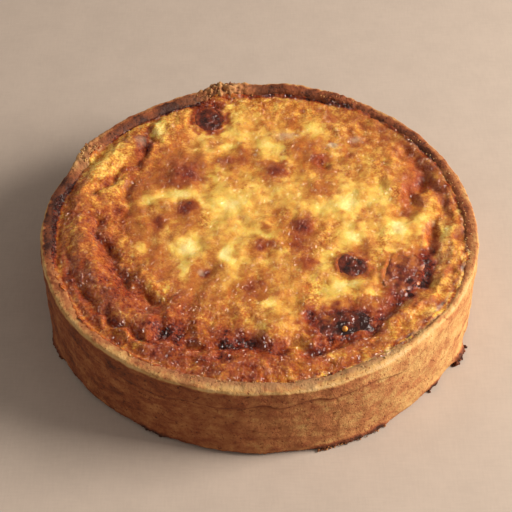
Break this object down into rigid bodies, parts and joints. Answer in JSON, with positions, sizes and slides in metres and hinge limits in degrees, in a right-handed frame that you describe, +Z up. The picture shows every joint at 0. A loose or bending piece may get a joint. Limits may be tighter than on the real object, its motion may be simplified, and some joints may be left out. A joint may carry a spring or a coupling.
{
  "type": "quiche lorraine",
  "caption": "Whole round quiche lorraine: a deep shortcrust case filled with browned egg custard, with pieces of bacon showing on top.",
  "frame": {"origin": "under the middle of the tart, on the surface that it stands on", "axes": "+Z up through the filling, the broken crag of the rim at the back (+Y) and slightly left (-X), the plain stretch of rim in front (-Y)"},
  "size_m": [0.2012, 0.2002, 0.0474],
  "materials": {
    "shortcrust_pastry": "dry, sandy baked pastry",
    "baked_custard": "moist, mottled golden to dark brown skin with an oily shine",
    "smoked_bacon": "dark, fatty and glossy"
  },
  "bodies": {
    "root": {"pastry_case": "shortcrust_pastry", "custard_filling": "baked_custard", "lardon_back_left": "smoked_bacon", "lardon_centre_right": "smoked_bacon", "lardon_right": "smoked_bacon", "lardon_front_right": "smoked_bacon"}
  },
  "joints": []
}
